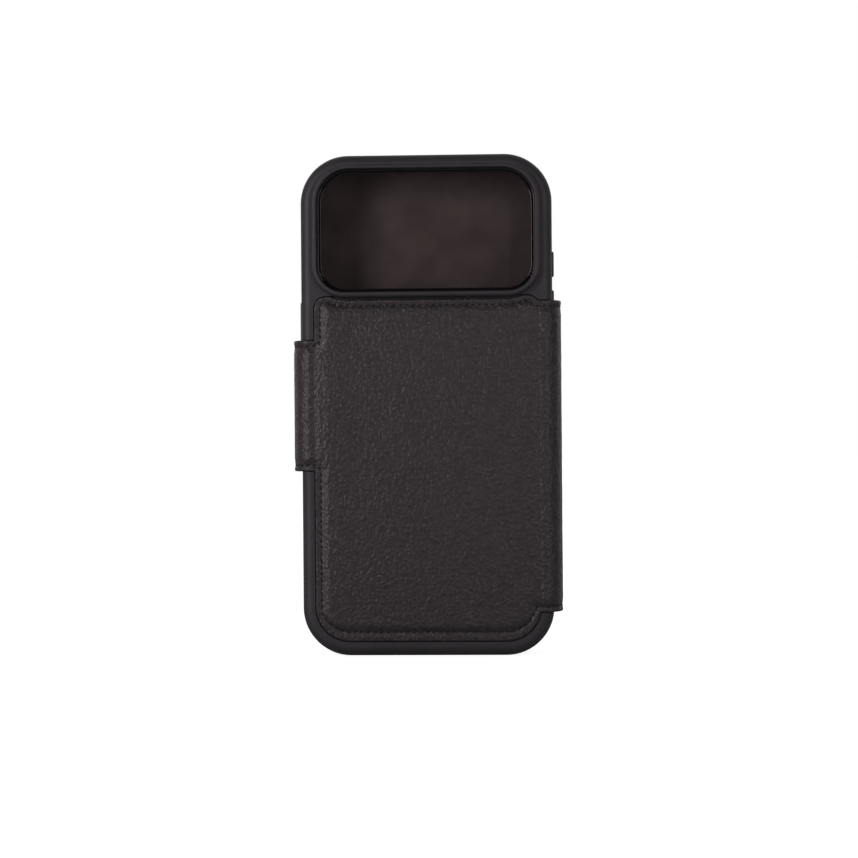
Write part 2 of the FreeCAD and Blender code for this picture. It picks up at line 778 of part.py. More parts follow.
def make_latch_end():
    """The end of the latch: leather with a pocket for the magnet, closed by its lining."""
    end = new_body("latch_end_flat")
    reach = size("latch_reach")
    rounding = size("latch_end_round")
    middle = reach / 2 - LATCH_X
    low = size("latch_low")
    tall = size("latch_tall")
    leather_thick = size("latch_thick") - size("lining_thick")
    sketch = outline(
        end, "latch_end_outline", reach + rounding * 2, tall, low, -LATCH_FACE, rounding, None,
        middle - rounding,
    )
    pad(end, sketch, leather_thick)
    trim = outline(
        end, "latch_end_trim", rounding * 4, tall + 2, low - 1, -LATCH_FACE, 0.5, None,
        -LATCH_X - rounding * 2,
    )
    pocket(end, trim, leather_thick, reverse=True)
    magnet_x = size("plate_wide") / 2 - size("plate_left")
    magnet_z = low + (tall - size("plate_tall")) / 2
    seat = outline(
        end, "magnet_seat", size("plate_wide") + 0.1, size("plate_tall") + 0.1,
        magnet_z - 0.05, -LATCH_FACE + leather_thick, 1.0, None, magnet_x,
    )
    pocket(end, seat, size("magnet_thick"))
    turn = ring_sector(
        "latch_end_turn", -LATCH_X, LATCH_Y, size("latch_round"), size("leather_thick"),
        90.0, HALF_TURN_OF_CORNER, low, tall,
    )
    leather = fused("latch_end_leather", [end, turn])

    lining_body = new_body("latch_end_lining")
    inner_face = -LATCH_FACE + size("latch_thick")
    lining = outline(
        lining_body, "latch_lining_outline", reach - 1.0, tall - 1.0, low + 0.5,
        inner_face - size("lining_thick"), rounding - 0.5, None, middle - 0.5,
    )
    pad(lining_body, lining, size("lining_thick"))

    magnet = new_body("latch_magnet")
    plate = outline(
        magnet, "latch_magnet_outline", size("plate_wide"), size("plate_tall"), magnet_z,
        -LATCH_FACE + leather_thick - size("magnet_thick"), 1.0, None, magnet_x,
    )
    pad(magnet, plate, size("magnet_thick"))

    seam = new_body("latch_end_seam")
    inset = size("seam_inset")
    proud = size("seam_proud")
    seam_frame(
        seam, "latch_end_stitch", reach + rounding, tall - inset * 2 + size("seam_wide"),
        low + inset - size("seam_wide") / 2, -LATCH_FACE - proud, rounding - inset,
        rounding - inset, middle - rounding / 2 - inset,
    )
    gap = outline(
        seam, "latch_end_seam_gap", rounding * 4, tall + 2, low - 1, -LATCH_FACE, 0.5, None,
        -LATCH_X - rounding * 2 + 0.5,
    )
    pocket(seam, gap, proud)
    return [leather, lining_body, magnet, seam]


def plain_sheet(label, wide, tall, low, back_y, thick, rounding, middle=0.0):
    """A flat sheet of the front cover whose back face is at back_y."""
    body = new_body(label)
    face = -(as_size(back_y) + thick)
    sketch = outline(body, label + "_outline", wide, tall, low, face, rounding, None, middle)
    pad(body, sketch, thick)
    return body


def make_cover():
    """The front cover: leather, board with its closure plate, and lining."""
    flat = new_body("cover_flat")
    sketch = outline(
        flat, "cover_outline", size("cover_wide"), size("cover_tall"), 0, -size("cover_face"),
        size("cover_corner"),
    )
    pad(flat, sketch, size("leather_thick"))
    notch_wide = size("cover_wide") / 2 - WRAP_X + 4.0
    notch = outline(
        flat, "cover_notch", notch_wide, size("spine_tall") + size("cover_slit") * 2,
        size("spine_low") - size("cover_slit"), -size("cover_face") + size("leather_thick"),
        0.2, None, WRAP_X + notch_wide / 2,
    )
    pocket(flat, notch, size("leather_thick"))
    turn = ring_sector(
        "cover_turn", WRAP_X, FRONT_Y, size("wrap_round"), size("leather_thick"),
        90 - HALF_TURN_OF_CORNER, HALF_TURN_OF_CORNER, size("spine_low"), size("spine_tall"),
    )
    leather = fused("cover_leather", [flat, turn])

    board_y = size("cover_face") - size("leather_thick") - size("cover_board")
    left = size("cover_wide") / 2 - 0.6
    right = WRAP_X - 0.4
    board = plain_sheet(
        "cover_board", left + right, size("cover_tall") - 1.2, 0.6, board_y,
        size("cover_board"), size("cover_corner") - 0.6, (right - left) / 2,
    )
    plate_x = size("plate_wide") / 2 - size("plate_left")
    plate_z = size("latch_low") + (size("latch_tall") - size("plate_tall")) / 2
    seat = outline(
        board, "plate_seat", size("plate_wide") + 0.1, size("plate_tall") + 0.1, plate_z - 0.05,
        -board_y, 1.0, None, plate_x,
    )
    pocket(board, seat, size("cover_board") + 1)
    plate = plain_sheet(
        "closure_plate", size("plate_wide"), size("plate_tall"), plate_z, board_y,
        size("cover_board"), 1.0, plate_x,
    )

    lining_y = board_y - size("cover_lining")
    lining_left = size("cover_wide") / 2 - 0.2
    lining_right = WRAP_X - 0.2
    lining = plain_sheet(
        "cover_lining", lining_left + lining_right, size("cover_tall") - 0.4, 0.2, lining_y,
        size("cover_lining"), size("cover_corner") - 0.2, (lining_right - lining_left) / 2,
    )
    return [leather, board, plate, lining]


def make_pockets():
    """The note pocket and the three stepped card pockets, each with a thumb notch."""
    layer = size("card_layer")
    y = size("cover_face") - size("leather_thick") - size("cover_board") - size("cover_lining")
    left = size("card_left")
    made = []
    mouths = [("note_pocket", size("note_mouth"))]
    for number in range(CARD_POCKETS):
        mouth = size("card_mouth") - size("card_step") * number
        mouths.append(("card_pocket_%d" % (number + 1), mouth))
    for index, (label, mouth) in enumerate(mouths):
        y = y - layer
        sheet = plain_sheet(
            label, left + mouth, size("card_tall"), size("card_low"), y, layer, 1.2,
            (mouth - left) / 2,
        )
        if index > 0:
            cut_thumb_notch(sheet, label, mouth, y, layer)
        made.append(sheet)
    made.append(make_pocket_seam(y))
    return made


def cut_thumb_notch(body, label, mouth, y, layer):
    """A shallow rounded notch in the middle of a card pocket's mouth."""
    middle_z = size("card_low") + size("card_tall") / 2
    sketch = plane_sketch(body, label + "_thumb", "XZ_Plane", mouth + 9.0, middle_z, -y)
    add_circle(sketch, 12.0)
    pocket(body, sketch, layer + 0.1)


def make_pocket_seam(face_y):
    """The stitching down the closed edge and along the ends of the card pockets."""
    body = new_body("pocket_seam")
    inset = size("seam_inset")
    wide = size("card_left") + size("card_mouth") - size("card_step") * (CARD_POCKETS - 1)
    seam_frame(
        body, "pocket_stitch", wide + 4, size("card_tall") - inset * 2,
        size("card_low") + inset, -face_y, as_size(1.5), as_size(1.5),
        (wide + 4) / 2 - size("card_left") + inset,
    )
    gap = outline(
        body, "pocket_seam_gap", 12.0, size("card_tall") + 2, size("card_low") - 1,
        -face_y + size("seam_proud"), 0.5, None, wide - size("card_left") + 6.0 - inset,
    )
    pocket(body, gap, size("seam_proud"))
    return body


def make_cover_seam():
    """The stitching round the outer face of the front cover, open where the spine joins it."""
    frame = new_body("cover_seam_frame")
    inset = size("seam_inset")
    proud = size("seam_proud")
    face = -size("cover_face") - proud
    seam_frame(
        frame, "cover_stitch", size("cover_wide") - inset * 2, size("cover_tall") - inset * 2,
        inset, face, size("cover_corner") - inset, size("cover_corner") - inset,
    )
    gap = outline(
        frame, "cover_seam_gap", 14.0, size("spine_tall") - inset * 2,
        size("spine_low") + inset, face + proud, 0.1, None, HALF_WALL,
    )
    pocket(frame, gap, proud)
    pieces = [frame]
    start_x = size("panel_wide") / 2 - inset - 2
    y1 = size("cover_face")
    for index, z in enumerate(edge_heights(size("spine_low"), size("spine_tall"))):
        label = "cover_seam_line_%d" % (index + 1)
        pieces.append(block(label, start_x, WRAP_X, y1, y1 + proud, z, size("seam_wide")))
        pieces.append(
            ring_sector(
                label + "_turn", WRAP_X, FRONT_Y, size("wrap_round") + proud, proud,
                90 - SEAM_TURN, SEAM_TURN, z, size("seam_wide"),
            )
        )
    return fused("cover_seam", pieces)


def make_everything():
    parts = [make_tray()]
    parts += [make_button(*button) for button in BUTTONS]
    parts += [make_back_board(), make_back_panel(), make_back_seam(), make_tray_lining()]
    parts += make_spine()
    parts += make_cover()
    parts.append(make_cover_seam())
    parts += make_pockets()
    parts += make_latch_side()
    parts += make_latch_end()
    return parts


def check(parts):
    """Stops if an object failed or a part's shape isn't valid solids."""
    for obj in DOC.Objects:
        if "Invalid" in obj.State or "Error" in obj.State:
            raise RuntimeError("%s failed: %s" % (obj.Name, obj.State))
    for part in parts:
        shape = part.Shape
        if shape.isNull() or not shape.isValid() or not shape.Solids:
            raise RuntimeError("%s has no valid solid" % part.Label)


def export(parts):
    os.makedirs("parts", exist_ok=True)
    for part in parts:
        part.Shape.exportStep("parts/%s.step" % part.Label)
        print("%-20s solids %d volume %.2f" % (part.Label, len(part.Shape.Solids), part.Shape.Volume))


PARTS = make_everything()
DOC.recompute()
check(PARTS)
export(PARTS)
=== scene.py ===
"""Looks of the phone wallet case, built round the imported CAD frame.

Leather, linings and pockets are sheets drawn flat, in (u, z), and laid along a path seen from
above: u runs round the case from the middle of the back, z is height. Working sizes are in
millimetres, and a mesh is scaled to metres when it is made.
"""

import json
import math

import bmesh
import bpy
import numpy as np
from mathutils import Matrix, Vector, geometry, kdtree, noise

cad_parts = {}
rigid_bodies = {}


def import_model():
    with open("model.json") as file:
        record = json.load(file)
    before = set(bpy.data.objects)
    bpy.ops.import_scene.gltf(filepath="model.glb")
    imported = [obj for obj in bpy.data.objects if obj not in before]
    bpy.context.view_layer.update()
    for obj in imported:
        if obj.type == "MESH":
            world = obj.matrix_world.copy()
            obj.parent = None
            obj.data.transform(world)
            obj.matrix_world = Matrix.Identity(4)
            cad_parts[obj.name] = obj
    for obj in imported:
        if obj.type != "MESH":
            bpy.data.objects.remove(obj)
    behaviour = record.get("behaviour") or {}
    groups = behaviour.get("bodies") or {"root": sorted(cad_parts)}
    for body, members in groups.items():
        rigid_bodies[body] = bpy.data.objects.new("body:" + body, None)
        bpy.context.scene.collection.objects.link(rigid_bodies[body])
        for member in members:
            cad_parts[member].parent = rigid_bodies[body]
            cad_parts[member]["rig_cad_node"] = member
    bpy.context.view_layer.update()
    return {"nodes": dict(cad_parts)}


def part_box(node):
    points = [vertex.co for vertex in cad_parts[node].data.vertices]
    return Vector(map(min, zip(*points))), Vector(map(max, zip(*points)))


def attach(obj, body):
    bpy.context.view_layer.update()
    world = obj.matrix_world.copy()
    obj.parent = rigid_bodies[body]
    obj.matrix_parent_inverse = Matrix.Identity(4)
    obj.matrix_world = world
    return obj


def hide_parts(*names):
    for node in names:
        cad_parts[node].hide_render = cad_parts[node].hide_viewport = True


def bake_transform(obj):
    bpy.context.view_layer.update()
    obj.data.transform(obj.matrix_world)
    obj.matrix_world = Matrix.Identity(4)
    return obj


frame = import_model()
MM = 0.001

LEATHER = 1.2
LINING = 0.4
WRAP_ROUND = 6.2
LATCH_ROUND = 4.4
STITCH_INSET = 1.9
STITCH_PITCH = 2.05
EDGE_ROUND = 0.42


def low(node):
    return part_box(node)[0] / MM


def high(node):
    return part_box(node)[1] / MM


PANEL_Y = low("back_leather").y
PANEL_LOW = low("back_leather").z
PANEL_HIGH = high("back_leather").z
PANEL_HALF = 34.9
WRAP_OUT = high("spine_leather").x
WRAP_X = WRAP_OUT - WRAP_ROUND
BACK_Y = PANEL_Y + WRAP_ROUND
COVER_Y = high("cover_leather").y
FRONT_Y = COVER_Y - WRAP_ROUND
COVER_HALF = -low("cover_leather").x
COVER_HIGH = high("cover_leather").z
COVER_CORNER = 13.6
SPINE_LOW = low("spine_leather").z
SPINE_HIGH = high("spine_leather").z
LATCH_LOW = low("latch_side_leather").z
LATCH_HIGH = high("latch_side_leather").z
LATCH_Y = high("latch_end_leather").y
LATCH_TURN_X = WRAP_OUT - LATCH_ROUND
LATCH_TURN_Y = LATCH_Y - LATCH_ROUND
LATCH_TIP = high("latch_end_leather").x
PANEL_CORNER = 10.7
PANEL_SHOULDER = 3.8
GUARD_TURN = (25.25, 121.1, 10.7)
SLIT = 0.4
WINDOW_HALF = 33.65
WINDOW_LOW = 112.7
WINDOW_HIGH = 150.7
LEDGE_Y = -5.6

QUARTER = math.pi / 2
U_BACK_TURN = WRAP_X + WRAP_ROUND * QUARTER
U_FRONT_TURN = U_BACK_TURN + FRONT_Y - BACK_Y
U_COVER = U_FRONT_TURN + WRAP_ROUND * QUARTER
U_SPINE_MIDDLE = (U_BACK_TURN + U_FRONT_TURN) / 2
U_COVER_END = U_COVER + WRAP_X + COVER_HALF
U_LATCH_WALL = U_BACK_TURN + LATCH_TURN_Y - BACK_Y
U_LATCH_END = U_LATCH_WALL + LATCH_ROUND * QUARTER
U_LATCH_TIP = U_LATCH_END + LATCH_TURN_X + LATCH_TIP
U_LATCH_MIDDLE = (U_BACK_TURN + U_LATCH_WALL) / 2


# Paths seen from above


def along_path(u, out, turn_x, turn_y, turn_round, flat_front):
    """(x, y) at a distance u along the folio's outer face and a distance out from it.

    The path is the back, the wrap onto the side wall, the wall, the front turn and the front.
    """
    x = np.array(u, float)
    y = np.full_like(x, PANEL_Y) - out
    back = (u > WRAP_X) & (u <= U_BACK_TURN)
    angle = -QUARTER + (u - WRAP_X) / WRAP_ROUND
    radius = WRAP_ROUND + out
    x = np.where(back, WRAP_X + radius * np.cos(angle), x)
    y = np.where(back, BACK_Y + radius * np.sin(angle), y)
    wall_end = U_BACK_TURN + turn_y - BACK_Y
    wall = (u > U_BACK_TURN) & (u <= wall_end)
    x = np.where(wall, WRAP_OUT + out, x)
    y = np.where(wall, BACK_Y + u - U_BACK_TURN, y)
    turn_end = wall_end + turn_round * QUARTER
    turn = (u > wall_end) & (u <= turn_end)
    angle = (u - wall_end) / turn_round
    radius = turn_round + out
    x = np.where(turn, turn_x + radius * np.cos(angle), x)
    y = np.where(turn, turn_y + radius * np.sin(angle), y)
    front = (u > turn_end) | flat_front
    x = np.where(front, turn_x - (u - turn_end), x)
    y = np.where(front, turn_y + turn_round + out, y)
    return x, y


def folio_path(u, z, out):
    """Back panel, spine and cover. The cover's corners beyond the spine stay flat."""
    beyond = (z < SPINE_LOW - SLIT / 2) | (z > SPINE_HIGH + SLIT / 2)
    flat_front = beyond & (u > U_SPINE_MIDDLE)
    return along_path(u, out, WRAP_X, FRONT_Y, WRAP_ROUND, flat_front)


def latch_path(u, z, out):
    """The latch, with u measured to the left as negative."""
    never = np.zeros(len(u), bool)
    x, y = along_path(-u, out, LATCH_TURN_X, LATCH_TURN_Y, LATCH_ROUND, never)
    return -x, y


# Outlines in (u, z)


def arc(cx, cz, radius, start, stop):
    count = max(3, int(abs(stop - start) / 7))
    angles = np.radians(np.linspace(start, stop, count))
    return [(cx + radius * math.cos(a), cz + radius * math.sin(a)) for a in angles]


def refine(loop, step=0.45):
    """The same closed outline with no side longer than step."""
    points = []
    for index, a in enumerate(loop):
        b = loop[(index + 1) % len(loop)]
        length = math.dist(a, b)
        if length < 1e-4:
            continue
        parts = max(1, math.ceil(length / step))
        for k in range(parts):
            t = k / parts
            points.append((a[0] + (b[0] - a[0]) * t, a[1] + (b[1] - a[1]) * t))
    return np.array(points)


def panel_outline(right, left):
    """The back panel, its strip to the right as far as right and the latch as far as left."""
    corner_x = PANEL_HALF - PANEL_CORNER
    corner_z = PANEL_LOW + PANEL_CORNER
    meet = -math.degrees(math.asin((corner_z - SPINE_LOW) / PANEL_CORNER))
    guard_x, guard_z, guard_r = GUARD_TURN
    peak = math.degrees(math.asin((PANEL_HIGH - guard_z) / guard_r))
    loop = arc(-corner_x, corner_z, PANEL_CORNER, 180, 270)
    loop += arc(corner_x, corner_z, PANEL_CORNER, -90, meet)
    shoulder_x = PANEL_HALF - PANEL_SHOULDER
    shoulder_z = PANEL_HIGH - PANEL_SHOULDER
    leave = math.degrees(math.asin((SPINE_HIGH - shoulder_z) / PANEL_SHOULDER))
    loop += [(right, SPINE_LOW), (right, SPINE_HIGH)]
    loop += arc(shoulder_x, shoulder_z, PANEL_SHOULDER, leave, 90)
    loop += arc(guard_x, guard_z, guard_r, peak, -90)
    loop += arc(-guard_x, guard_z, guard_r, -90, -180 - peak)
    loop += arc(-shoulder_x, shoulder_z, PANEL_SHOULDER, 90, 180)
    if left < -PANEL_HALF:
        loop += [(-PANEL_HALF, LATCH_HIGH)]
        loop += arc(left + 5, LATCH_HIGH - 5, 5, 90, 180)
        loop += arc(left + 5, LATCH_LOW + 5, 5, 180, 270)
    else:
        loop += [(-PANEL_HALF, LATCH_HIGH)]
    loop += [(-PANEL_HALF, LATCH_LOW)]
    return refine(loop)


def cover_outline(start):
    """The cover's outer leather with the strip that runs back round the spine to start."""
    edge = U_COVER - (COVER_HALF - WRAP_X)
    r = COVER_CORNER
    start_angle = 180 + math.degrees(math.asin((r - SPINE_LOW + SLIT) / r))
    loop = arc(edge + r, r, r, start_angle, 270)
    loop += arc(U_COVER_END - r, r, r, -90, 0)
    loop += arc(U_COVER_END - r, COVER_HIGH - r, r, 0, 90)
    loop += arc(edge + r, COVER_HIGH - r, r, 90, 180)
    loop += [(edge, SPINE_HIGH + SLIT), (U_COVER, SPINE_HIGH + SLIT), (U_COVER, SPINE_HIGH)]
    loop += [(start, SPINE_HIGH), (start, SPINE_LOW)]
    loop += [(U_COVER, SPINE_LOW), (U_COVER, SPINE_LOW - SLIT), (edge, SPINE_LOW - SLIT)]
    return refine(loop)


def edge_distance(points, loop):
    """Distance from each point to a closed outline."""
    tree = kdtree.KDTree(len(loop))
    for index, (u, z) in enumerate(loop):
        tree.insert((u, z, 0), index)
    tree.balance()
    nearest = np.array([tree.find((u, z, 0))[1] for u, z in points])
    best = np.full(len(points), 1e9)
    for shift in (-1, 0):
        a = loop[(nearest + shift) % len(loop)]
        side = loop[(nearest + shift + 1) % len(loop)] - a
        span = np.maximum((side**2).sum(1), 1e-12)
        t = np.clip(((points - a) * side).sum(1) / span, 0, 1)
        gap = points - (a + side * t[:, None])
        best = np.minimum(best, np.sqrt((gap**2).sum(1)))
    return best


def smooth(value, start, stop):
    t = np.clip((value - start) / (stop - start), 0, 1)
    return t * t * (3 - 2 * t)


def bell(value, middle, width):
    return np.exp(-(((value - middle) / width) ** 2))


def relief(u, z, amount, scale, seed):
    """Slow unevenness of hand-laid leather."""
    values = [noise.noise(Vector((a * scale, b * scale, seed))) for a, b in zip(u, z)]
    return np.array(values) * amount


def edge_round(d, radius):
    t = np.clip(1 - d / radius, 0, 1)
    return radius * (1 - np.sqrt(1 - t * t))


# Meshes


def new_object(name, verts, faces, uv=None):
    mesh = bpy.data.meshes.new(name)
    mesh.from_pydata((np.array(verts) * MM).tolist(), [], faces)
    if uv is not None:
        layer = mesh.uv_layers.new(name="UVMap")
        index = np.empty(len(mesh.loops), np.int32)
        mesh.loops.foreach_get("vertex_index", index)
        layer.data.foreach_set("uv", np.array(uv)[index].astype(np.float32).ravel())
    mesh.update()
    mesh.shade_smooth()
    obj = bpy.data.objects.new(name, mesh)
    bpy.context.scene.collection.objects.link(obj)
    return obj


def grid_inside(loop, spacing, margin):
    """Points on a staggered grid, well inside an outline."""
    after = np.roll(loop, -1, axis=0)
    rows = []
    top = loop[:, 1].max()
    for row, z in enumerate(np.arange(loop[:, 1].min() + spacing / 2, top, spacing * 0.87)):
        crossing = (loop[:, 1] > z) != (after[:, 1] > z)
        a = loop[crossing]
        b = after[crossing]
        edges = np.sort(a[:, 0] + (z - a[:, 1]) * (b[:, 0] - a[:, 0]) / (b[:, 1] - a[:, 1]))
        for start, stop in zip(edges[::2], edges[1::2]):
            first = math.ceil(start / spacing) + (row % 2) / 2
            u = np.arange(first * spacing, stop, spacing)
            rows.append(np.column_stack([u, np.full(len(u), z)]))
    points = np.concatenate(rows)
    return points[edge_distance(points, loop) > margin]


def inset_points(loop, real, distance):
    """Points at one distance in from the real edge, along this piece's own outline."""
    side = np.roll(loop, -1, axis=0) - np.roll(loop, 1, axis=0)
    length = np.maximum(np.sqrt((side**2).sum(1)), 1e-9)
    inward = np.column_stack([-side[:, 1], side[:, 0]]) / length[:, None]
    points = loop + inward * distance
    near_real = abs(edge_distance(points, real) - distance) < 0.02
    inside = edge_distance(points, loop) > distance * 0.9
    return points[near_real & inside]


def sheet(name, loop, path, thick, height, spacing=0.6, real=None, edge=EDGE_ROUND):
    """A closed sheet with rounded edges. height(u, z, d) is the outer face's relief, and thick
    is how deep the inner face lies below the leather's own outer face.

    real is the whole leather's outline where this piece is only part of it: an edge of the
    piece that isn't an edge of the leather stays square, so the next piece meets it.
    """
    real = loop if real is None else real
    groups = [loop]
    for part in (0.12, 0.35, 0.7, 1.1):
        groups.append(inset_points(loop, real, edge * part))
    groups.append(grid_inside(loop, spacing, edge * 1.5))
    flat = np.concatenate(groups)
    count = len(loop)
    result = geometry.delaunay_2d_cdt(
        [Vector(p) for p in flat], [], [list(range(count))], 1, 1e-5
    )
    points = np.array([tuple(v) for v in result[0]])
    faces = [list(f) for f in result[2]]
    u = points[:, 0]
    z = points[:, 1]
    d = edge_distance(points, real)
    top = height(u, z, d) - edge_round(d, edge)
    deep = thick(u, z, d) if callable(thick) else thick
    bottom = edge_round(d, edge * 0.8) * 0.6 - deep
    top = np.maximum(top, bottom + 0.02)
    verts = []
    for out in (top, bottom):
        x, y = path(u, z, out)
        verts += list(zip(x, y, z))
    total = len(points)
    sides = [side for a, b, c in faces for side in ((a, b), (b, c), (c, a))]
    known = set(sides)
    border = [(a, b) for a, b in sides if (b, a) not in known]
    solid = faces + [[c + total, b + total, a + total] for a, b, c in faces]
    solid += [[b, a, a + total, b + total] for a, b in border]
    obj = new_object(name, verts, solid, list(zip(u, z)) * 2)
    face_outwards(obj)
    return obj


def face_outwards(obj):
    """Turns every face outwards, whichever way the path ran, and keeps square edges crisp."""
    work = bmesh.new()
    work.from_mesh(obj.data)
    bmesh.ops.recalc_face_normals(work, faces=work.faces)
    work.to_mesh(obj.data)
    work.free()
    obj.data.shade_smooth()
    obj.data.set_sharp_from_angle(angle=math.radians(55))


def stitch_line(real, inset, keep, pitch=STITCH_PITCH):
    """Evenly spaced (u, z, tangent) places along the inset of an outline, where keep(u, z).

    inset is a distance, or a function of height that gives one.
    """
    inset = inset(real[:, 1]) if callable(inset) else np.full(len(real), inset)
    side = np.roll(real, -1, axis=0) - np.roll(real, 1, axis=0)
    inward = np.column_stack([-side[:, 1], side[:, 0]])
    inward /= np.maximum(np.sqrt((inward**2).sum(1)), 1e-9)[:, None]
    points = real + inward * inset[:, None]
    points = points[edge_distance(points, real) > inset - 0.12]
    places = []
    travelled = 0.0
    for a, b in zip(points, np.roll(points, -1, axis=0)):
        length = float(np.hypot(*(b - a)))
        if length < 1e-6:
            continue
        while travelled <= length:
            p = a + (b - a) * (travelled / length)
            if keep(p[0], p[1]):
                places.append((p[0], p[1], math.atan2(b[1] - a[1], b[0] - a[0])))
            travelled += pitch
        travelled -= length
    return places


def stitches(name, places, path, height, real):
    """One thread stitch at each place: a slightly slanted strand that dips at both ends."""
    around = 8
    rings = 9
    flat = np.array([(p[0], p[1]) for p in places])
    base = height(flat[:, 0], flat[:, 1], edge_distance(flat, real))
    verts = []
    uv = []
    faces = []
    for number, ((u, z, angle), level) in enumerate(zip(places, base)):
        slant = angle + 0.17
        first = len(verts)
        for ring in range(rings):
            t = ring / (rings - 1) * 2 - 1
            fat = 0.21 * math.sqrt(max(0.0, 1 - abs(t) ** 3.2)) + 0.012
            lift = 0.12 - 0.30 * abs(t) ** 2.4
            for k in range(around):
                turn = 2 * math.pi * k / around
                lump = 1 + 0.10 * math.cos(2 * turn + 5.0 * t)
                across = fat * math.cos(turn) * lump
                run = t * 0.86
                verts.append(
                    (
                        u + run * math.cos(slant) - across * math.sin(slant),
                        z + run * math.sin(slant) + across * math.cos(slant),
                        level + lift + fat * 0.9 * math.sin(turn) * lump,
                    )
                )
                uv.append((number + t * 0.5, k / around))
        for ring in range(rings - 1):
            for k in range(around):
                a = first + ring * around + k
                b = first + ring * around + (k + 1) % around
                faces.append([a, b, b + around, a + around])
        faces.append([first + k for k in reversed(range(around))])
        last = first + (rings - 1) * around
        faces.append([last + k for k in range(around)])
    table = np.array(verts)
    x, y = path(table[:, 0], table[:, 1], table[:, 2])
    obj = new_object(name, np.column_stack([x, y, table[:, 1]]), faces, uv)
    face_outwards(obj)
    return obj


# Materials


class Nodes:
    """A short way to write a material's nodes."""

    def __init__(self, name):
        self.material = bpy.data.materials.new(name)
        self.material.use_nodes = True
        self.tree = self.material.node_tree
        self.shader = self.tree.nodes["Principled BSDF"]

    def add(self, kind, inputs=(), **settings):
        node = self.tree.nodes.new(kind)
        for key, value in settings.items():
            setattr(node, key, value)
        for key, value in dict(inputs).items():
            self.put(node, key, value)
        return node

    def put(self, node, key, value):
        if isinstance(value, bpy.types.NodeSocket):
            self.tree.links.new(value, node.inputs[key])
        else:
            node.inputs[key].default_value = value

    def math(self, operation, a, b=0.0, c=0.0):
        node = self.add("ShaderNodeMath", {0: a, 1: b, 2: c}, operation=operation)
        return node.outputs[0]

    def ramp(self, value, stops):
        node = self.add("ShaderNodeValToRGB", {0: value})
        ramp = node.color_ramp
        ramp.interpolation = "EASE"
        while len(ramp.elements) < len(stops):
            ramp.elements.new(0.5)
        for element, (position, colour) in zip(ramp.elements, stops):
            element.position = position
            element.color = (*colour, 1.0)
        return node.outputs[0]

    def noise(self, where, scale, detail=3.0, rough=0.5):
        values = {"Vector": where, "Scale": scale, "Detail": detail, "Roughness": rough}
        return self.add("ShaderNodeTexNoise", values).outputs[0]

    def shaded(self, colour, where, amount):
        """The colour, darkened by an amount where the mask is one."""
        factor = self.math("MULTIPLY", where, amount)
        black = (0.0, 0.0, 0.0, 1.0)
        values = {0: factor, 6: colour, 7: black}
        return self.add("ShaderNodeMix", values, data_type="RGBA").outputs[2]

    def bump(self, height, distance, strength=1.0):
        values = {"Height": height, "Distance": distance, "Strength": strength}
        return self.add("ShaderNodeBump", values).outputs[0]

    def finish(self, **values):
        for key, value in values.items():
            self.put(self.shader, key.replace("_", " "), value)
        return self.material


def flat_place(nodes, stretch=(1, 1, 1)):
    """Millimetres on the flat leather."""
    uv = nodes.add("ShaderNodeUVMap", uv_map="UVMap").outputs[0]
    return nodes.add("ShaderNodeMapping", {"Vector": uv, "Scale": stretch}).outputs[0]


def solid_place(nodes):
    """Millimetres in the object's own space, for pieces that stay rigid."""
    place = nodes.add("ShaderNodeTexCoord").outputs["Object"]
    return nodes.add("ShaderNodeMapping", {"Vector": place, "Scale": (1000, 1000, 1000)}).outputs[0]


def leather_material(name, dark, light, pebble, depth, rough):
    """Pebbled leather: domed grains with creases between them, worn a little on the crests."""
    n = Nodes(name)
    place = flat_place(n, (1.0, 0.86, 1.0))
    wobble = n.add(
        "ShaderNodeTexNoise", {"Vector": place, "Scale": 0.55 * pebble, "Detail": 2.0}
    ).outputs["Color"]
    bent = n.add(
        "ShaderNodeMix", {0: 0.16, 6: place, 7: wobble}, data_type="RGBA", blend_type="LINEAR_LIGHT"
    ).outputs[2]
    cells = n.add(
        "ShaderNodeTexVoronoi",
        {"Vector": bent, "Scale": pebble, "Smoothness": 0.30, "Randomness": 0.85},
        feature="SMOOTH_F1",
    ).outputs["Distance"]
    fine = n.add(
        "ShaderNodeTexVoronoi",
        {"Vector": bent, "Scale": pebble * 2.7, "Smoothness": 0.4},
        feature="SMOOTH_F1",
    ).outputs["Distance"]
    pores = n.noise(place, 7.0, 4.0, 0.6)
    folds = n.noise(place, 0.16, 3.0, 0.55)
    domes = n.math("SUBTRACT", 1.0, cells)
    height = n.math("MULTIPLY_ADD", fine, -0.30, domes)
    height = n.math("MULTIPLY_ADD", pores, 0.16, height)
    height = n.math("MULTIPLY_ADD", folds, 0.25, height)
    tone = n.math("MULTIPLY_ADD", folds, 0.35, n.math("MULTIPLY", domes, 0.62))
    colour = n.ramp(tone, [(0.30, dark), (0.62, light), (0.95, tuple(c * 1.25 for c in light))])
    roughness = n.math("MULTIPLY_ADD", pores, 0.14, n.math("MULTIPLY_ADD", cells, 0.12, rough))
    return n.finish(
        Base_Color=colour,
        Roughness=roughness,
        Normal=n.bump(height, depth * MM),
        Specular_IOR_Level=0.50,
        Specular_Tint=(1.0, 0.87, 0.90, 1),
        Sheen_Weight=0.05,
        Sheen_Roughness=0.5,
        Sheen_Tint=(1.0, 0.88, 0.92, 1),
    )


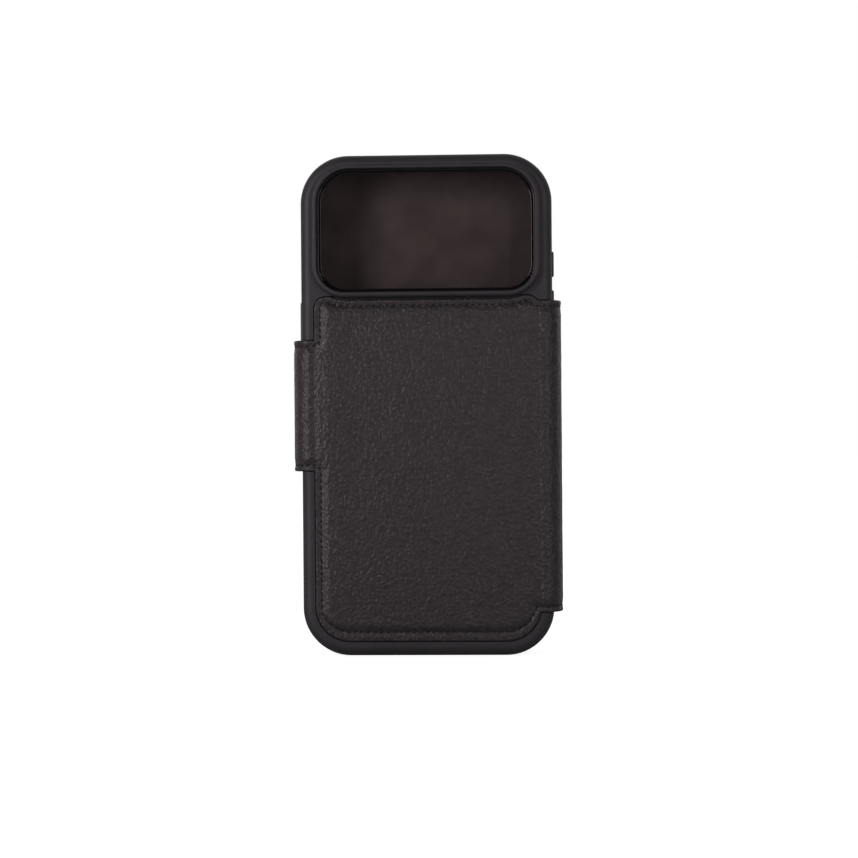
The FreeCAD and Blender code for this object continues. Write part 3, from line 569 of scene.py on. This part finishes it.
def shell_material(name, dark, light, rough):
    """The tray's elastomer, with the ledge inside the camera window polished, and its colour there
    darkened as painted shade.
    """
    n = Nodes(name)
    x, y, z = n.add("ShaderNodeSeparateXYZ", {0: solid_place(n)}).outputs
    inside = n.math("LESS_THAN", n.math("ABSOLUTE", x), WINDOW_HALF + 0.05)
    inside = n.math("MULTIPLY", inside, n.math("GREATER_THAN", z, WINDOW_LOW - 0.05))
    inside = n.math("MULTIPLY", inside, n.math("LESS_THAN", z, WINDOW_HIGH + 0.05))
    deep = n.add("ShaderNodeMapRange", {0: y, 1: LEDGE_Y - 0.9, 2: LEDGE_Y - 0.1}).outputs[0]
    # The ledge's mask: glossy there, and its colour darkened as painted shade.
    polish_and_painted_shade = n.math("MULTIPLY", inside, deep)
    return moulded_material(name, dark, light, rough, n, polish_and_painted_shade)


def moulded_material(name, dark, light, rough, n=None, polish_and_painted_shade=0.0):
    """Matte moulded elastomer with a fine etched surface. Where the given mask is one the surface is
    glossy and its colour is darkened as painted shade.
    """
    n = n or Nodes(name)
    place = solid_place(n)
    matte = n.math("SUBTRACT", 1.0, polish_and_painted_shade)
    etch = n.noise(place, 9.0, 3.0, 0.6)
    cloud = n.noise(place, 0.10, 4.0, 0.6)
    rub = n.noise(place, 0.9, 5.0, 0.65)
    return n.finish(
        # Painted shade: the base colour is darkened by 0.85 where the ledge's mask is one.
        Base_Color=n.shaded(n.ramp(cloud, [(0.3, dark), (0.7, light)]), polish_and_painted_shade, 0.85),
        Roughness=n.math("MULTIPLY_ADD", n.math("MULTIPLY_ADD", rub, 0.18, rough), matte, 0.07),
        Normal=n.bump(n.math("MULTIPLY", etch, matte), 0.012 * MM, 0.8),
        Specular_IOR_Level=0.5,
        Specular_Tint=(1.0, 0.93, 1.0, 1),
    )


def microfibre_material(name, dark, light):
    """Short-nap microfibre, brushed in soft patches."""
    n = Nodes(name)
    place = flat_place(n)
    nap = n.noise(place, 3.2, 5.0, 0.7)
    brushed = n.noise(place, 0.09, 3.0, 0.5)
    tone = n.math("MULTIPLY_ADD", nap, 0.5, n.math("MULTIPLY", brushed, 0.55))
    return n.finish(
        Base_Color=n.ramp(tone, [(0.32, dark), (0.70, light)]),
        Roughness=0.93,
        Normal=n.bump(nap, 0.03 * MM, 0.8),
        Specular_IOR_Level=0.15,
        Specular_Tint=(1.0, 0.80, 0.78, 1),
        Sheen_Weight=0.22,
        Sheen_Roughness=0.5,
        Sheen_Tint=(1.0, 0.76, 0.74, 1),
    )


def thread_material(name):
    """Waxed polyester thread with its twist."""
    n = Nodes(name)
    uv = n.add("ShaderNodeUVMap", uv_map="UVMap").outputs[0]
    twist = n.add(
        "ShaderNodeTexWave",
        {"Vector": n.add("ShaderNodeMapping", {"Vector": uv, "Scale": (9, 2, 1)}).outputs[0],
         "Scale": 1.0, "Distortion": 0.6},
        bands_direction="DIAGONAL",
    ).outputs[1]
    fuzz = n.noise(uv, 14.0, 3.0, 0.6)
    return n.finish(
        Base_Color=n.ramp(fuzz, [(0.3, (0.0035, 0.003, 0.0032)), (0.7, (0.010, 0.0085, 0.009))]),
        Roughness=n.math("MULTIPLY_ADD", fuzz, 0.2, 0.52),
        Normal=n.bump(twist, 0.05 * MM, 0.8),
        Specular_IOR_Level=0.28,
    )


def metal_material(name, tone):
    n = Nodes(name)
    place = solid_place(n)
    grain = n.noise(n.add("ShaderNodeMapping", {"Vector": place, "Scale": (1, 1, 24)}).outputs[0], 0.8)
    return n.finish(
        Base_Color=n.ramp(grain, [(0.3, (tone * 0.85,) * 3), (0.7, (tone,) * 3)]),
        Roughness=n.math("MULTIPLY_ADD", grain, 0.2, 0.25),
        Metallic=1.0,
    )


def board_material(name):
    n = Nodes(name)
    place = solid_place(n)
    fibre = n.noise(place, 2.2, 6.0, 0.7)
    return n.finish(
        Base_Color=n.ramp(fibre, [(0.3, (0.03, 0.028, 0.027)), (0.7, (0.06, 0.055, 0.05))]),
        Roughness=0.9,
        Normal=n.bump(fibre, 0.05 * MM, 0.6),
    )


OUTER = leather_material(
    "pebbled_leather", (0.0092, 0.0074, 0.0078), (0.0160, 0.0131, 0.0137), 1.0, 0.20, 0.30
)
INNER = leather_material(
    "pocket_leather", (0.0125, 0.0100, 0.0100), (0.0215, 0.0180, 0.0178), 1.9, 0.05, 0.45
)
SHELL = shell_material("moulded_shell", (0.0120, 0.0105, 0.0118), (0.0165, 0.0146, 0.0162), 0.40)
BUTTON = moulded_material("moulded_button", (0.0110, 0.0102, 0.0108), (0.0160, 0.0150, 0.0156), 0.31)
NAP = microfibre_material("lining_nap", (0.0370, 0.0265, 0.0258), (0.060, 0.0450, 0.0442))
THREAD = thread_material("waxed_thread")
METAL = metal_material("plated_steel", 0.5)
BOARD = board_material("fibre_board")


def dress(obj, material):
    obj.data.materials.clear()
    obj.data.materials.append(material)


# Relief of the leather


def back_inset(z):
    """Edge to stitching: wider along the bottom of the panel."""
    return STITCH_INSET + 1.05 * (1 - smooth(z, PANEL_LOW + 1, PANEL_LOW + 9))


def quilted(d, inset=STITCH_INSET):
    """Edge, stitched channel and the soft crown inside it, from the distance to the edge."""
    channel = bell(d, inset, 0.42)
    crown = smooth(d, inset + 0.1, inset + 2.6)
    margin = bell(d, inset * 0.45, 0.55)
    return -0.10 - 0.32 * channel + 0.05 * margin + 0.34 * crown


def back_height(u, z, d):
    """The back panel and the start of the spine and the latch.

    The leather dips at the edge of its recess and then swells over the tray's rim. The padding
    under the panel is fullest along its left side.
    """
    inset = back_inset(z)
    height = quilted(d, inset)
    past_seam = u + PANEL_HALF - inset
    padded = smooth(past_seam, 0.2, 2.4) * (1 - smooth(past_seam, 3.0, 12.0))
    height = height + 0.19 * padded * smooth(d, inset, inset + 2.0)
    on_spine = smooth(z, SPINE_LOW - 1.0, SPINE_LOW + 3.0) * (
        1 - smooth(z, SPINE_HIGH - 3.0, SPINE_HIGH + 1.0)
    )
    on_latch = smooth(z, LATCH_LOW - 1.0, LATCH_LOW + 3.0) * (
        1 - smooth(z, LATCH_HIGH - 3.0, LATCH_HIGH + 1.0)
    )
    right = 0.16 * bell(u, PANEL_HALF - 0.6, 1.4) - 0.10 * bell(u, PANEL_HALF + 2.2, 1.3)
    left = 0.32 * bell(u, -PANEL_HALF + 0.3, 0.8) - 0.10 * bell(u, -PANEL_HALF - 2.4, 1.5)
    height = height - right * on_spine - left * on_latch
    height = height - 0.30 * smooth(abs(u), WRAP_X + 3.5, WRAP_X + 7.5) * smooth(d, 1.5, 4.0)
    return height + relief(u, z, 0.07, 0.07, 1.5) + relief(u, z, 0.035, 0.45, 7.1)


def cover_height(u, z, d):
    height = quilted(d) * 0.8 - 0.05
    height = height - 0.25 * (1 - smooth(u, U_FRONT_TURN, U_COVER + 2.0)) * smooth(d, 1.5, 4.0)
    crease = bell(u, U_COVER + 0.4, 0.9) * smooth(z, SPINE_LOW, SPINE_LOW + 2)
    crease = crease * (1 - smooth(z, SPINE_HIGH - 2, SPINE_HIGH))
    return height - 0.2 * crease + relief(u, z, 0.05, 0.06, 3.5) + relief(u, z, 0.03, 0.45, 9.1)


# Leather pieces

REAL_BACK = panel_outline(U_SPINE_MIDDLE + 40, -U_LATCH_TIP)
REAL_COVER = cover_outline(U_SPINE_MIDDLE - 40)
SPINE_FOLD = ((35.9, -6.85, 60), (41.5, -1.25, 60))
COVER_FOLD = ((41.5, 6.6, 60), (38.5, 11.2, 60))
LATCH_FOLD = ((-35.9, -6.85, 78), (-41.5, -1.25, 78))
LATCH_END_FOLD = ((-41.8, 9.2, 78), (-37.5, 13.5, 78))


def bend(obj, first, second, fold):
    """Bakes the piece's transform into its mesh."""
    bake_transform(obj)


def cover_thickness(u, z, d):
    """The cover's leather turns over the edge of its board."""
    on_cover = (u > U_COVER - 1) | (z < SPINE_LOW - SLIT / 2) | (z > SPINE_HIGH + SLIT / 2)
    return LEATHER + np.where(on_cover, 0.8 * (1 - smooth(d, 0.3, 0.55)), 0.0)


def latch_thickness(u, z, d):
    return LEATHER + 0.4 * smooth(-u, U_LATCH_END - 2.5, U_LATCH_END + 0.5)


def make_outer_leather():
    panel = sheet(
        "leather_back", panel_outline(U_SPINE_MIDDLE, -PANEL_HALF), folio_path, LEATHER,
        back_height, 0.55, REAL_BACK,
    )
    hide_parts("back_leather")
    bend(panel, "tray", "spine", SPINE_FOLD)

    cover = sheet(
        "leather_cover", cover_outline(U_SPINE_MIDDLE), folio_path, cover_thickness,
        cover_height, 0.62, REAL_COVER,
    )
    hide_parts("spine_leather", "cover_leather")
    bend(cover, "spine", "cover", COVER_FOLD)

    middle = -U_LATCH_MIDDLE
    side_loop = refine(
        [(middle, LATCH_LOW), (-PANEL_HALF, LATCH_LOW), (-PANEL_HALF, LATCH_HIGH), (middle, LATCH_HIGH)]
    )
    side = sheet(
        "leather_latch_side", side_loop, latch_path, LEATHER, back_height, 0.5, REAL_BACK
    )
    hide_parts("latch_side_leather")
    bend(side, "tray", "latch_side", LATCH_FOLD)

    tip = -U_LATCH_TIP
    end_loop = arc(tip + 5, LATCH_HIGH - 5, 5, 90, 180) + arc(tip + 5, LATCH_LOW + 5, 5, 180, 270)
    end_loop = refine(end_loop + [(middle, LATCH_LOW), (middle, LATCH_HIGH)])
    end = sheet(
        "leather_latch_end", end_loop, latch_path, latch_thickness, back_height, 0.5, REAL_BACK
    )
    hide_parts("latch_end_leather")
    bend(end, "latch_side", "latch_end", LATCH_END_FOLD)
    for obj in (panel, cover, side, end):
        dress(obj, OUTER)


def make_outer_stitches():
    def back_part(u, z):
        return -PANEL_HALF < u < U_SPINE_MIDDLE - 0.9

    def side_part(u, z):
        return -U_LATCH_MIDDLE + 0.9 < u <= -PANEL_HALF

    def end_part(u, z):
        return u < -U_LATCH_MIDDLE - 0.9

    def cover_part(u, z):
        return u > U_SPINE_MIDDLE + 0.9

    plan = (
        ("stitches_back", REAL_BACK, back_part, folio_path, back_height,
         ("back_seam",), ("tray", "spine"), SPINE_FOLD),
        ("stitches_cover", REAL_COVER, cover_part, folio_path, cover_height,
         ("spine_seam", "cover_seam"), ("spine", "cover"), COVER_FOLD),
        ("stitches_latch_side", REAL_BACK, side_part, latch_path, back_height,
         ("latch_side_seam",), ("tray", "latch_side"), LATCH_FOLD),
        ("stitches_latch_end", REAL_BACK, end_part, latch_path, back_height,
         ("latch_end_seam",), ("latch_side", "latch_end"), LATCH_END_FOLD),
    )
    for name, real, keep, path, height, nodes, bodies, fold in plan:
        inset = back_inset if real is REAL_BACK else STITCH_INSET
        places = stitch_line(real, inset, keep)
        obj = stitches(name, places, path, height, real)
        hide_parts(*nodes)
        bend(obj, *bodies, fold)
        dress(obj, THREAD)


# Linings


def add_lining(name, node, loop, path, depth, height, spacing, edge):
    piece = sheet(name, loop, path, depth, height, spacing, None, edge)
    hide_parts(node)
    return piece


def make_folio_linings():
    """The lining under the spine and the cover, split at the spine's middle."""
    top = SPINE_HIGH - 0.6
    bottom = SPINE_LOW + 0.6
    outer = COVER_Y - high("cover_lining").y
    inner = COVER_Y - low("cover_lining").y + 0.02

    def on_cover(u):
        return smooth(u, U_COVER - 1.0, U_COVER + 1.5)

    def face(u, z, d):
        return -LEATHER - 0.06 - (outer - LEATHER - 0.06) * on_cover(u)

    def depth(u, z, d):
        thin = LEATHER + LINING + 0.02
        return thin + (inner - thin) * on_cover(u)

    loop = refine([(35.3, bottom), (U_SPINE_MIDDLE, bottom), (U_SPINE_MIDDLE, top), (35.3, top)])
    back = add_lining("lining_spine", "spine_lining", loop, folio_path, depth, face, 0.9, 0.12)
    bend(back, "tray", "spine", SPINE_FOLD)

    r = COVER_CORNER - 0.4
    right = U_COVER + 0.2
    end = U_COVER_END - 0.35
    upper = COVER_HIGH - 0.35
    loop = [(U_SPINE_MIDDLE, top), (U_SPINE_MIDDLE, bottom), (right, bottom)]
    loop += arc(right + r, 0.35 + r, r, 183, 270) + arc(end - r, 0.35 + r, r, -90, 0)
    loop += arc(end - r, upper - r, r, 0, 90) + arc(right + r, upper - r, r, 90, 180)
    loop = refine(loop + [(right, top)])
    cover = add_lining("lining_cover", "cover_lining", loop, folio_path, depth, face, 1.0, 0.12)
    bend(cover, "spine", "cover", COVER_FOLD)
    return back, cover


def make_latch_linings():
    """The lining under the latch, split at the middle of the side wall."""
    top = LATCH_HIGH - 0.6
    bottom = LATCH_LOW + 0.6
    middle = -U_LATCH_MIDDLE

    def face(u, z, d):
        deep = smooth(-u, U_LATCH_END - 2.5, U_LATCH_END + 0.5)
        return -LEATHER - 0.03 - 0.4 * deep

    def depth(u, z, d):
        return 0.35 - face(u, z, d)

    loop = refine([(middle, bottom), (-35.3, bottom), (-35.3, top), (middle, top)])
    side = add_lining(
        "lining_latch_side", "latch_side_lining", loop, latch_path, depth, face, 0.9, 0.1
    )
    bend(side, "tray", "latch_side", LATCH_FOLD)

    tip = -U_LATCH_TIP + 0.6
    loop = arc(tip + 4.5, top - 4.5, 4.5, 90, 180) + arc(tip + 4.5, bottom + 4.5, 4.5, 180, 270)
    loop = refine(loop + [(middle, bottom), (middle, top)])
    end = add_lining(
        "lining_latch_end", "latch_end_lining", loop, latch_path, depth, face, 0.9, 0.1
    )
    bend(end, "latch_side", "latch_end", LATCH_END_FOLD)
    return side, end


def make_tray_lining():
    lo = low("tray_lining")
    hi = high("tray_lining")

    def face(u, z, d):
        return relief(u, z, 0.025, 0.12, 6.0)

    def facing_front(u, z, out):
        return u, hi.y + out - 0.03

    loop = refine(
        arc(hi.x - 12, lo.z + 12, 12, -90, 0) + arc(hi.x - 1, hi.z - 1, 1, 0, 90)
        + arc(lo.x + 1, hi.z - 1, 1, 90, 180) + arc(lo.x + 12, lo.z + 12, 12, 180, 270)
    )
    depth = hi.y - lo.y - 0.03
    tray = add_lining("lining_tray", "tray_lining", loop, facing_front, depth, face, 1.1, 0.12)
    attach(tray, "tray")
    return tray


def make_linings():
    for piece in (*make_folio_linings(), *make_latch_linings(), make_tray_lining()):
        dress(piece, NAP)


# Card pockets


def make_pockets():
    nodes = ("note_pocket", "card_pocket_1", "card_pocket_2", "card_pocket_3")
    for index, node in enumerate(nodes):
        lo = low(node)
        hi = high(node)
        middle = (lo.z + hi.z) / 2
        loop = arc(hi.x - 1.2, lo.z + 1.2, 1.2, -90, 0)
        if index > 0:
            loop += arc(hi.x + 9, middle, 12, 221.4, 138.6)
        loop += arc(hi.x - 1.2, hi.z - 1.2, 1.2, 0, 90)
        loop += arc(lo.x + 1.2, hi.z - 1.2, 1.2, 90, 180)
        loop += arc(lo.x + 1.2, lo.z + 1.2, 1.2, 180, 270)
        loop = refine(loop)

        def height(u, z, d, mouth=hi.x, seed=index):
            bead = 0.08 * bell(mouth - u, 0.6, 0.8) - 0.06 * bell(mouth - u, 1.8, 0.5)
            return bead - 0.08 + relief(u, z, 0.03, 0.08, 11.0 + seed)

        def facing_back(u, z, out, face=lo.y):
            return u, face - out

        piece = sheet(
            "leather_" + node, loop, facing_back, hi.y - lo.y - 0.1, height, 1.0, None, 0.18
        )
        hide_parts(node)
        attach(piece, "cover")
        dress(piece, INNER)
        make_pocket_stitches(node, loop, facing_back, height, lo, hi, index == 3)


def make_pocket_stitches(node, loop, path, height, lo, hi, front):
    """A line along the pocket's mouth, and on the front pocket the seam that holds them all."""
    def along_mouth(u, z):
        return u > hi.x - 7 and lo.z + 3 < z < hi.z - 3

    def round_closed_edges(u, z):
        return u < hi.x - 1.6

    places = stitch_line(loop, 1.8, along_mouth, 1.7)
    if front:
        places += stitch_line(loop, 1.8, round_closed_edges, 1.7)
    obj = stitches("stitches_" + node, places, path, height, loop)
    if front:
        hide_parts("pocket_seam")
    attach(obj, "cover")
    dress(obj, THREAD)


make_outer_leather()
make_outer_stitches()
make_linings()
make_pockets()

for node, obj in frame["nodes"].items():
    if node == "bumper_shell":
        dress(obj, SHELL)
    elif node.endswith("_button"):
        dress(obj, BUTTON)
    elif node.endswith("board"):
        dress(obj, BOARD)
    else:
        dress(obj, METAL)


# Floor, light and camera


FLOOR_TONE = 0.60
FLOOR_GLOW = 0.86
LIGHT_TARGET = Vector((0, 0, 0.08))
WORLD_RAMP = {"From Min": -0.1, "From Max": 0.5, "To Min": 0.06, "To Max": 0.78}


def make_floor():
    """A pale floor, lifted to plain white where the camera sees it."""
    bpy.ops.mesh.primitive_plane_add(size=8.0, location=(0, 0, 0))
    floor = bpy.context.object
    floor.name = "floor"
    n = Nodes("pale_floor")
    seen = n.add("ShaderNodeLightPath").outputs["Is Camera Ray"]
    n.finish(
        Base_Color=(FLOOR_TONE, FLOOR_TONE, FLOOR_TONE, 1),
        Roughness=0.9,
        Specular_IOR_Level=0.1,
        Emission_Color=(1, 1, 1, 1),
        Emission_Strength=n.math("MULTIPLY", seen, FLOOR_GLOW),
    )
    floor.data.materials.append(n.material)


def make_world():
    """White behind the case and darker in front of it; plain white to the camera."""
    world = bpy.data.worlds.new("studio")
    bpy.context.scene.world = world
    world.use_nodes = True
    tree = world.node_tree
    tree.nodes.clear()
    place = tree.nodes.new("ShaderNodeTexCoord")
    parts = tree.nodes.new("ShaderNodeSeparateXYZ")
    ramp = tree.nodes.new("ShaderNodeMapRange")
    for key, value in WORLD_RAMP.items():
        ramp.inputs[key].default_value = value
    ray = tree.nodes.new("ShaderNodeLightPath")
    seen = tree.nodes.new("ShaderNodeMath")
    seen.operation = "MAXIMUM"
    shade = tree.nodes.new("ShaderNodeBackground")
    shade.inputs["Color"].default_value = (1, 1, 1, 1)
    out = tree.nodes.new("ShaderNodeOutputWorld")
    tree.links.new(place.outputs["Generated"], parts.inputs[0])
    tree.links.new(parts.outputs["Y"], ramp.inputs["Value"])
    tree.links.new(ramp.outputs["Result"], seen.inputs[0])
    tree.links.new(ray.outputs["Is Camera Ray"], seen.inputs[1])
    tree.links.new(seen.outputs[0], shade.inputs["Strength"])
    tree.links.new(shade.outputs[0], out.inputs[0])


def make_light(name, place, wide, tall, power):
    """A soft rectangular light, aimed at the middle of the case."""
    data = bpy.data.lights.new(name, "AREA")
    data.shape = "RECTANGLE"
    data.size = wide
    data.size_y = tall
    data.energy = power
    obj = bpy.data.objects.new(name, data)
    obj.location = place
    obj.rotation_euler = (LIGHT_TARGET - Vector(place)).to_track_quat("-Z", "Y").to_euler()
    bpy.context.scene.collection.objects.link(obj)


def make_camera():
    """Straight behind the case, a touch to the right, with the case a hair off upright."""
    distance = 0.60
    seen_width = 0.2683
    turn = math.radians(2.5)
    tilt = math.radians(-0.43)
    target = Vector((0.0003, 0.0, 0.0702))
    back = Vector((math.sin(turn), -math.cos(turn), 0))
    data = bpy.data.cameras.new("camera")
    data.sensor_width = 36.0
    data.lens = 36.0 * distance / seen_width
    camera = bpy.data.objects.new("camera", data)
    camera.rotation_mode = "QUATERNION"
    camera.location = target + back * distance
    aim = (-back).to_track_quat("-Z", "Y")
    camera.rotation_quaternion = Matrix.Rotation(tilt, 3, back).to_quaternion() @ aim
    bpy.context.scene.collection.objects.link(camera)
    bpy.context.scene.camera = camera


make_floor()
make_world()
make_light("key", (-0.66, -0.75, 0.10), 0.26, 1.00, 8.2)
make_light("fill", (0.66, -0.75, 0.12), 0.34, 0.90, 1.7)
make_light("strip", (0.41, -0.91, 0.12), 0.08, 0.90, 2.1)
make_light("top", (-0.1, -0.35, 0.95), 0.50, 0.30, 0.2)
make_camera()
bpy.context.scene.view_settings.view_transform = "Standard"
